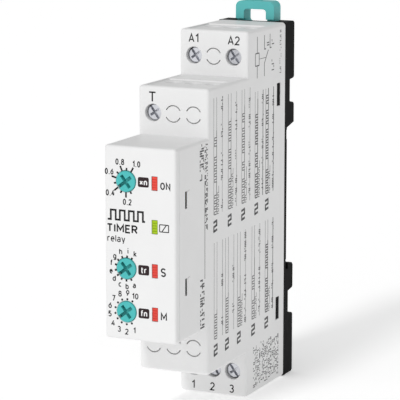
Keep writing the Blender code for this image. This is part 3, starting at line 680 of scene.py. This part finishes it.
def make_knob(name, z, paint):
    """A screwdriver knob: a crossed slot with one arm run out to the rim as the pointer."""
    proud, foot, shaft_end, ease = 0.3, 1.9, 4.6, 0.2
    rim = [(-proud + ease * (1 - s), KNOB_R - ease * (1 - c)) for c, s in arc((0, 0), 1, 90, 0, 5)]
    profile = rim + [(foot, KNOB_R), (foot, 1.1), (shaft_end, 1.1)]
    at = (CONTROL_X, z)
    made = turned(profile, (CONTROL_X, 0, z), "y", 96)
    slot_y = (-2, 1.25)
    cross = bar(at, POINTER_REST, -1.75, 4, 0.8, slot_y)
    join(cross, bar(at, POINTER_REST + 90, -1.75, 1.75, 0.8, slot_y))
    cut(made, rounded(cross, 0.06, 2))
    node = name + "_knob"
    piece(smooth(made), node + "_cap", paint["teal"], node, node)


def make_lamp(name, z, paint, slot):
    """A lamp's lens: a bar with fine ribs across its face, on the foot behind the window."""
    width, height = LED_SIZE
    lens = rounded(box(middle(LED_X, width), (0.05, 4), middle(z, height)), 0.12, 4)
    ribs, depth = 5, 0.16
    for i in range(1, ribs):
        at = z - height / 2 + height * i / ribs
        cut(lens, box(middle(LED_X, width - 0.3), (0, 0.05 + depth), middle(at, 0.16)))
    join(lens, rounded(box(middle(LED_X, width + 0.9), (2.6, 5.0), middle(z, height + 0.7)), 0.15, 3))
    for dz in LED_LEADS:
        join(lens, box(middle(LED_X, 0.45), (4.8, 8.6), middle(z + dz, 0.45)))
    piece(smooth(lens), name + "_lamp", paint[slot.split("_")[0]], "timer", name + "_led")


def make_screw(name, paint):
    """A terminal screw: crowned head with a long slot and a cross, threaded shank."""
    column, step, side = TERMINALS[name]
    face, _, z = row_place(step, side)
    x = column * TERMINAL_PITCH
    top, under, tip, head_r, shank_r = 1.0, 2.8, 8.9, 1.9, 1.28
    crown = arc((0, 0), 1, 90, 0, 6)
    profile = [(top + 0.3 * (1 - s), head_r - 0.28 * (1 - c)) for c, s in crown]
    profile += [(under - 0.1, head_r), (under, head_r - 0.1)]
    pitch, depth = 0.5, 0.16
    thread = under + 0.3
    profile += [(under, shank_r - depth), (thread, shank_r - depth)]
    while thread + pitch < tip - 0.5:
        profile += [(thread + pitch * 0.35, shank_r), (thread + pitch * 0.5, shank_r)]
        thread += pitch
        profile += [(thread, shank_r - depth)]
    profile += [(tip - 0.3, shank_r - depth), (tip, 0.8)]
    made = turned(profile, (x, face, z), "y", 48)
    slot = bar((x, z), 125, -3, 3, 0.5, (face - 1, face + top + 1.1))
    for angle in (35, 125):
        join(slot, bar((x, z), angle, -1.3, 1.3, 0.6, (face - 1, face + top + 1.5)))
    cut(made, slot)
    node = "screw_" + name
    piece(smooth(made), "screw_head_" + name, paint["steel"], node, node)


# ---- Lettering --------------------------------------------------------------------------------
BOWL = oval(0.25, 0.36, 0.25, 0.36)  # of b, d and g
ARCH = oval(0.24, 0.45, 0.24, 0.27, 150, 0, 6) + [(0.48, 0)]  # of h and n

# Plain even-width letters: each has its width and its strokes, with capitals 1 high.
GLYPHS = {
    "0": (0.56, [oval(0.28, 0.5, 0.28, 0.5)]),
    "1": (0.28, [[(0, 0.76), (0.28, 1), (0.28, 0)]]),
    "2": (0.54, [oval(0.27, 0.72, 0.26, 0.28, 165, -35) + [(0, 0), (0.56, 0)]]),
    "3": (0.52, [oval(0.24, 0.76, 0.25, 0.24, 150, -90), oval(0.24, 0.26, 0.28, 0.26, 90, -150)]),
    "4": (0.6, [[(0.42, 1), (0, 0.26), (0.62, 0.26)], [(0.45, 0.6), (0.45, 0)]]),
    "5": (0.54, [[(0.5, 1), (0.08, 1), (0.04, 0.55)] + oval(0.26, 0.31, 0.28, 0.31, 130, -150)]),
    "6": (0.56, [oval(0.28, 0.31, 0.28, 0.31), [(0.45, 1), (0.03, 0.42)]]),
    "7": (0.54, [[(0, 1), (0.54, 1), (0.18, 0)]]),
    "8": (0.56, [oval(0.28, 0.77, 0.23, 0.23), oval(0.28, 0.27, 0.28, 0.27)]),
    "9": (0.56, [oval(0.28, 0.69, 0.28, 0.31), [(0.11, 0), (0.53, 0.58)]]),
    ".": (0.02, [[(0.01, -0.06), (0.01, 0.08)]]),
    "×": (0.5, [[(0, 0.12), (0.5, 0.68)], [(0.5, 0.12), (0, 0.68)]]),
    "A": (0.68, [[(0, 0), (0.34, 1), (0.68, 0)], [(0.1, 0.3), (0.58, 0.3)]]),
    "E": (0.52, [[(0.54, 1), (0, 1), (0, 0), (0.54, 0)], [(0, 0.52), (0.46, 0.52)]]),
    "I": (0.02, [[(0.01, 1), (0.01, 0)]]),
    "M": (0.78, [[(0, 0), (0, 1), (0.39, 0.3), (0.78, 1), (0.78, 0)]]),
    "N": (0.6, [[(0, 0), (0, 1), (0.6, 0), (0.6, 1)]]),
    "O": (0.64, [oval(0.32, 0.5, 0.32, 0.5)]),
    "R": (
        0.58,
        [
            [(0, 0), (0, 1)] + oval(0.3, 0.74, 0.28, 0.26, 90, -90) + [(0, 0.48)],
            [(0.3, 0.48), (0.6, 0)],
        ],
    ),
    "S": (0.56, [oval(0.28, 0.75, 0.27, 0.25, 25, 260) + oval(0.28, 0.25, 0.28, 0.25, 80, -155)]),
    "T": (0.62, [[(0, 1), (0.62, 1)], [(0.31, 1), (0.31, 0)]]),
    "a": (0.46, [oval(0.24, 0.48, 0.22, 0.24, 150, 0, 6) + [(0.46, 0)], oval(0.22, 0.21, 0.22, 0.21)]),
    "b": (0.5, [BOWL, [(0, 1), (0, 0)]]),
    "c": (0.42, [oval(0.26, 0.36, 0.26, 0.36, 50, 310)]),
    "d": (0.5, [BOWL, [(0.5, 1), (0.5, 0)]]),
    "e": (0.5, [[(0, 0.36), (0.5, 0.36)] + oval(0.25, 0.36, 0.25, 0.36, 8, 310)]),
    "f": (0.3, [oval(0.34, 0.78, 0.22, 0.22, 80, 180, 6) + [(0.12, 0)], [(0, 0.68), (0.32, 0.68)]]),
    "g": (0.5, [BOWL, [(0.5, 0.72), (0.5, -0.08)] + oval(0.25, -0.08, 0.25, 0.2, -10, -150, 8)]),
    "h": (0.48, [[(0, 1), (0, 0)], ARCH]),
    "i": (0.02, [[(0.01, 0.72), (0.01, 0)], [(0.01, 0.92), (0.01, 1.06)]]),
    "k": (0.46, [[(0, 1), (0, 0)], [(0.44, 0.7), (0.03, 0.28)], [(0.16, 0.4), (0.48, 0)]]),
    "l": (0.02, [[(0.01, 1), (0.01, 0)]]),
    "n": (0.48, [[(0, 0.72), (0, 0)], ARCH]),
    "r": (0.3, [[(0, 0.72), (0, 0)], oval(0.28, 0.42, 0.28, 0.3, 160, 80, 5)]),
    "t": (
        0.32,
        [
            [(0.12, 0.96), (0.12, 0.2)] + oval(0.32, 0.2, 0.2, 0.2, 190, 270, 5),
            [(0, 0.7), (0.34, 0.7)],
        ],
    ),
    "y": (0.5, [[(0, 0.72), (0.26, 0.04)], [(0.5, 0.72), (0.2, -0.26)]]),
}


# ---- Printing ---------------------------------------------------------------------------------
INK = 0.012  # how far the printing stands proud
ROOTED = 0.1  # how far it reaches into the plastic, also where an edge starts to round
LIFT = 0.0015  # between strokes that cross, so that no two faces share a plane


class Print:
    """Flat printing on one face of the case: plane "front" takes (x, z), "side" takes (y, z)."""

    def __init__(self, name, plane, surface, facing=1):
        self.name, self.plane, self.surface, self.facing = name, plane, surface, facing
        self.bm = bmesh.new()
        self.count = 0

    def point(self, a, b, proud, surface):
        at = self.surface if surface is None else surface
        if self.plane == "front":
            return metre(a, at - proud, b)
        return metre(at + proud * self.facing, a, b)

    def polygon(self, outline, surface=None):
        """A closed slab of ink, from below the surface to just above it."""
        self.count += 1
        proud = INK + LIFT * (self.count % 3)
        top = [self.bm.verts.new(self.point(a, b, proud, surface)) for a, b in outline]
        root = [self.bm.verts.new(self.point(a, b, -ROOTED, surface)) for a, b in outline]
        self.bm.faces.new(top)
        self.bm.faces.new(root[::-1])
        for i in range(len(outline)):
            j = (i + 1) % len(outline)
            self.bm.faces.new((top[j], top[i], root[i], root[j]))

    def stroke(self, points, width, surface=None):
        """A line of even width through points, with mitred corners."""
        kept = [Vector(points[0])]
        for spot in points[1:]:
            if (Vector(spot) - kept[-1]).length > width * 0.05:
                kept.append(Vector(spot))
        left, right = [], []
        for i, here in enumerate(kept):
            before, after = kept[max(i - 1, 0)], kept[min(i + 1, len(kept) - 1)]
            one = (here - before).normalized() if i else (after - here).normalized()
            two = (after - here).normalized() if i < len(kept) - 1 else one
            across = Vector((-(one + two).y, (one + two).x)).normalized()
            reach = width / 2 / max(0.4, across.dot(Vector((-one.y, one.x))))
            left.append(here + across * reach)
            right.append(here - across * reach)
        self.polygon([tuple(v) for v in left + right[::-1]], surface)

    def disc(self, a, b, radius):
        self.polygon(arc((a, b), radius, 0, 345, 23))

    def text(self, words, a, b, height, bold, surface=None, wide=1.0):
        """Words centred on (a, b): height is that of a capital, bold the width of its strokes."""
        scale = height - bold
        gap = bold * 1.25 + scale * 0.1
        length = sum(GLYPHS[c][0] * scale * wide for c in words) + gap * (len(words) - 1)
        start = a - length / 2
        for letter in words:
            share, strokes = GLYPHS[letter]
            for points in strokes:
                placed = [(start + u * scale * wide, b + (v - 0.5) * scale) for u, v in points]
                self.stroke(placed, bold, surface)
            start += share * scale * wide + gap

    def finish(self, material, slot):
        return piece(object_from(self.bm, self.name), self.name, material, "timer")


SCALE_STEP, SCALE_START = 26.25, 296.25  # degrees, of the dials' ten marks
LABEL_X = CONTROL_X + 0.3  # the figures stand a little to the right of their dial's axis
PLATE_X = 0.9  # the small plates between the dials and the lamps


def polar(x, z, angle, radius):
    """The point at an angle and a distance from (x, z)."""
    a = math.radians(angle)
    return x + radius * math.cos(a), z + radius * math.sin(a)


def print_dials(sheet):
    """The three dials' scales: tenths with long and short ticks, letters, and numbers with dots."""
    time, spans, functions = KNOB_Z["time"], KNOB_Z["range"], KNOB_Z["function"]
    rim = KNOB_HOLE_R + 0.05
    leftmost = CONTROL_X - 4.25
    for i in range(10):
        angle = SCALE_START - SCALE_STEP * i
        long_tick = i % 2 == 1
        reach = 3.75 if long_tick else 3.1
        sheet.stroke([polar(CONTROL_X, time, angle, rim), polar(CONTROL_X, time, angle, reach)], 0.42)
        if long_tick:
            a, b = polar(LABEL_X, time, angle, 4.75)
            if a < CONTROL_X - 2:  # the two on the left stand further out, one of them higher
                a, b = max(a - 0.55, leftmost), b + (0.8 if angle < 180 else 0)
            sheet.text(f"{(i + 1) / 10:.1f}", a, b, 1.45, 0.25, wide=0.82)
        sheet.stroke([polar(CONTROL_X, spans, angle, rim), polar(CONTROL_X, spans, angle, 3.05)], 0.45)
        sheet.text("abcdefghik"[i], *polar(LABEL_X - 0.15, spans, angle, 4.15), 1.4, 0.24)
        sheet.disc(*polar(CONTROL_X, functions, angle, 2.95), 0.26)
        a, b = polar(LABEL_X - 0.3, functions, angle, 4.4)
        sheet.text(str(i + 1), a, b - (0.3 if angle > 200 else 0), 1.4, 0.24)


def print_front(paint):
    sheet = Print("front_print", "front", 0.0)
    print_dials(sheet)
    sheet.text("ON", 6.4, 13.95, 1.7, 0.3)
    sheet.text("S", 5.85, -5.9, 2.05, 0.34)
    sheet.text("M", 5.95, -16.2, 1.9, 0.32)
    left, right, low, high = 4.95, 7.2, 3.45, 5.1  # the coil symbol beside the supply lamp
    coil = [(left, low), (left, high), (right, high), (right, low), (left, low)]
    for one, two in zip(coil, coil[1:]):
        sheet.stroke([one, two], 0.22)
    sheet.stroke([(5.5, low), (6.65, high)], 0.22)
    low, high, pitch, width = 5.4, 7.6, 2.3, 1.25  # a generic train of pulses
    pulse = [(-8.2, low)]
    for i in range(4):
        a = -7.4 + pitch * i
        pulse += [(a, low), (a, high), (a + width, high), (a + width, low)]
    sheet.stroke(pulse + [(1.3, low)], 0.45)
    sheet.text("TIMER", -4.55, 3.4, 2.0, 0.38, wide=1.2)
    sheet.text("relay", -6.05, 1.0, 1.65, 0.22, wide=1.05)
    sheet.finish(paint["ink"], "black_plastic")

    plates = Print("label_plates", "front", 0.0)
    letters = Print("plate_letters", "front", -INK - 2 * LIFT)
    for words, z in (("×n", 14.5), ("tr", -5.8), ("fn", -15.9)):
        plates.polygon(plate_outline(PLATE_X, z, 2.75, 2.3, 0.4, 6))
        letters.text(words, PLATE_X, z, 1.5, 0.27)
    plates.finish(paint["plate"], "black_plastic")
    letters.finish(paint["letter"], "white_plastic")


def print_terminals(paint):
    marks = Print("terminal_marks", "front", 0.0)
    marks.text("T", -5.35, 31.4, 2.5, 0.35, STEP_Y[0], wide=1.25)
    marks.text("A1", -5.3, 42.85, 2.15, 0.3, STEP_Y[1])
    marks.text("A2", 5.3, 42.7, 2.15, 0.3, STEP_Y[1])
    for i, x in enumerate((-5.4, -0.2, 5.0)):
        marks.text(str(i + 1), x, -43.15, 2.1, 0.3, STEP_Y[1])
    marks.finish(paint["ink"], "black_plastic")


class SidePrint:
    """Timing diagrams, a wiring diagram and marks too small to read, all generic, on one side wall."""

    def __init__(self, facing):
        name = "right" if facing > 0 else "left"
        self.sheet = Print("side_print_" + name, "side", HALF * facing, facing)
        self.draw = random.Random(7 if facing > 0 else 8)

    def line(self, points, width):
        self.sheet.stroke(points, width)

    def comb(self, y, low, high, reach, pitch, width):
        """A timing line that runs up the side, with trains of short pulses between rests."""
        z, points = low, [(y, low)]
        while z < high - 2 * pitch:
            for _ in range(self.draw.randint(2, 7)):
                if z > high - pitch:
                    break
                points += [(y, z), (y - reach, z), (y - reach, z + pitch / 2), (y, z + pitch / 2)]
                z += pitch
            z += self.draw.uniform(0.8, 2.6)
        self.line(points + [(y, high)], width)

    def words(self, y, low, high, size, thick):
        """A line of unreadable marks in words, as far along z as they reach."""
        z = low
        while z < high:
            for _ in range(self.draw.randint(2, 6)):
                if z > high:
                    break
                if self.draw.random() < 0.55:
                    self.line([(y - size / 2, z), (y + size / 2, z)], thick)
                    z += size * 0.42
                else:
                    at = y + (0.5 - self.draw.randint(0, 1)) * (size - thick)
                    self.line([(at, z), (at, z + size * 0.4)], thick)
                    z += size * 0.62
            z += size * 0.5

    def heading(self, y, z):
        """A bold mark at the foot of a diagram."""
        for step in range(3):
            self.line([(y - 1.05, z - 1.2 + 1.1 * step), (y + 1.05, z - 0.9 + 1.1 * step)], 0.55)
        self.line([(y - 0.8, z - 1.2), (y - 0.8, z)], 0.6)
        self.line([(y + 0.8, z), (y + 0.8, z + 1.2)], 0.6)

    def diagram(self, y, low, high, bold, busy):
        """One function's timing: busy is the share of its length that carries pulses."""
        self.heading(y, low - 0.2)
        foot = low + 2.6
        reach = foot + (high - foot) * busy
        self.comb(y + 0.7, foot, reach, 1.2, 1.3, 0.3 if bold else 0.22)
        if busy > 0.5:
            self.comb(y + 1.9, foot, foot + self.draw.uniform(6, 12), 0.8, 1.1, 0.16)
        for offset in (-0.9, 0.7):
            self.line([(y + offset, foot), (y + offset, high)], 0.13)
        count = 5 if busy > 0.5 else 2
        for i in range(count):
            start = foot + (high - foot) * (i + self.draw.uniform(0, 0.4)) / count
            self.words(y + 3.7, start, start + self.draw.uniform(2, 4), 1.0, 0.26)
        self.line([(y + 3.9, foot), (y + 3.9, high)], 0.3 if bold else 0.13)

    def contacts(self, y, z):
        """A changeover contact beside a coil."""
        thick = 0.26
        self.line([(y, z), (y, z + 3.2), (y + 2.4, z + 6.2)], thick)
        for end in (0.0, 3.4):
            self.line([(y + end, z + 10.0), (y + end, z + 6.6), (y + end + 0.9, z + 6.6)], thick)
        coil = [(y - 5.5, z + 3.0), (y - 5.5, z + 6.0), (y - 3.2, z + 6.0), (y - 3.2, z + 3.0)]
        for one, two in zip(coil, coil[1:] + coil[:1]):
            self.line([one, two], thick)
        self.line([(y - 4.35, z), (y - 4.35, z + 3.0)], thick)
        self.line([(y - 4.35, z + 6.0), (y - 4.35, z + 10.0)], thick)
        self.line([(y - 3.2, z + 4.5), (y + 1.0, z + 4.5)], 0.12)
        for offset in (2.2, 5.2):
            self.words(y + offset, z + 7.4, z + 9.0, 1.4, 0.26)
        self.words(y + 5.2, z + 1.0, z + 3.4, 1.4, 0.26)

    def finish(self, paint):
        """Prints the whole side: diagrams in two ranks, headings, the contacts and small print."""
        for i, y in enumerate((21.4, 29.6, 37.5, 45.4, 51.9)):
            self.diagram(y, 1.4, 31.5 if y < STEP_Y[1] else 30.0, i > 2, 0.72 + 0.07 * i)
        for i, y in enumerate((21.7, 28.2, 35.2, 43.8, 52.0)):
            self.diagram(y, -28.5, -2.7, i == 4, 0.3 + 0.12 * i)
        self.line([(15.6, -10.2), (15.6, 12.7)], 0.22)
        for offset in (-0.45, 0.45):
            self.words(13.9 + offset, 13.4, 21.3, 1.3, 0.36)
            self.words(16.3 + offset, 1.2, 21.3, 0.8, 0.28)
            self.words(14.2 + offset, -21.5, -10.0, 1.4, 0.38)
        self.contacts(50.0, 33.2)
        self.words(60.0, 33.0, 43.5, 0.9, 0.2)
        for i in range(7):
            foot, head = -43.4 + 0.4 * (i % 3), -33.0 - 0.8 * (i % 2)
            self.words(44.6 + 2.3 * i, foot, head, 1.1, 0.24)
            self.words(45.7 + 2.3 * i, foot, head, 0.6, 0.2)
        self.sheet.finish(paint["faint_ink"], "black_plastic")


# ---- The assembly -----------------------------------------------------------------------------
INNER_PAINT = {
    "main_board": "laminate",
    "front_board": "laminate",
    "board_header": "dark",
    "output_relay": "dark",
    "bulk_capacitor": "sleeve",
    "small_capacitor": "sleeve",
    "film_capacitor": "yellow",
    "supply_choke": "ferrite",
    "varistor": "varistor",
    "fusible_resistor": "resistor",
    "optocoupler": "dark",
    "bridge_rectifier": "dark",
    "controller": "dark",
}


def paint_inner_nodes(paint):
    names = dict(INNER_PAINT)
    names.update({name + "_trimmer": "blue" for name in KNOB_Z})
    names.update({"lug_" + name: "brass" for name in TERMINALS})
    names.update({"cage_" + name: "steel" for name in TERMINALS})
    for name, colour in names.items():
        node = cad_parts[name]
        node.data.materials.clear()
        node.data.materials.append(paint[colour])
        shade(node.data, 35)


def build_object(paint):
    make_housing(paint)
    make_front_cover(paint)
    make_rail_base(paint)
    make_rail_clip(paint)
    make_spring(paint)
    for name, z in KNOB_Z.items():
        make_knob(name, z, paint)
    for name, z in LED_Z.items():
        make_lamp(name, z, paint, "green_lens" if name == "supply" else "red_lens")
    for name in TERMINALS:
        make_screw(name, paint)
    paint_inner_nodes(paint)
    print_front(paint)
    print_terminals(paint)
    for facing in (1, -1):
        SidePrint(facing).finish(paint)


# ---- Stage ------------------------------------------------------------------------------------
def directions(azimuth, elevation):
    """Unit vectors from the object to the viewer, to the viewer's right and up."""
    a, e = math.radians(azimuth), math.radians(elevation)
    back = Vector((math.sin(a) * math.cos(e), -math.cos(a) * math.cos(e), math.sin(e)))
    right = Vector((math.cos(a), math.sin(a), 0))
    return back, right, back.cross(right)


def make_camera():
    """The viewer stands half a metre off, to the right of the front and a little above."""
    back, right, up = directions(24.9, 10.55)
    distance, aside, above = 501.0, 13.6, 10.2
    camera = bpy.data.cameras.new("camera")
    camera.lens, camera.sensor_width = 198.7, 36.0
    camera.clip_start, camera.clip_end = 0.02, 20
    made = bpy.data.objects.new("camera", camera)
    bpy.context.scene.collection.objects.link(made)
    made.rotation_euler = back.to_track_quat("Z", "Y").to_euler()
    made.location = metre(0, 0, 0) + (back * distance + right * aside + up * above) * 0.001
    bpy.context.scene.camera = made


def sun_light(name, azimuth, elevation, spread, power):
    """Light from far off, so that the floor stays even; spread softens its shadows, in degrees."""
    back, _, _ = directions(azimuth, elevation)
    light = bpy.data.lights.new(name, "SUN")
    light.angle, light.energy = math.radians(spread), power
    made = bpy.data.objects.new(name, light)
    bpy.context.scene.collection.objects.link(made)
    made.rotation_euler = back.to_track_quat("Z", "Y").to_euler()


def make_stage():
    world = bpy.data.worlds.new("studio")
    bpy.context.scene.world = world
    world.use_nodes = True
    background = next(n for n in world.node_tree.nodes if n.type == "BACKGROUND")
    background.inputs["Color"].default_value = (1, 1, 1, 1)
    background.inputs["Strength"].default_value = 0.53
    sun_light("key", -8, 42, 10, 0.9)
    sun_light("fill", -12, 4, 50, 0.6)

    bm = bmesh.new()
    bmesh.ops.create_grid(bm, x_segments=1, y_segments=1, size=4.0)  # metres each way
    floor = object_from(bm, "floor", recalc=False)
    floor.location.z = -OUTER_HALF * 0.001 - 0.0001  # a hair under the case
    finish = bpy.data.materials.new("floor")
    finish.use_nodes = True
    shader = shader_of(finish)
    shader.inputs["Base Color"].default_value = (0.95, 0.95, 0.95, 1)
    shader.inputs["Roughness"].default_value = 0.9
    shader.inputs["Emission Color"].default_value = (1, 1, 1, 1)
    shader.inputs["Emission Strength"].default_value = 0.3
    floor.data.materials.append(finish)
    bpy.context.scene.view_settings.view_transform = "Standard"


make_camera()
build_object(make_materials())
make_stage()
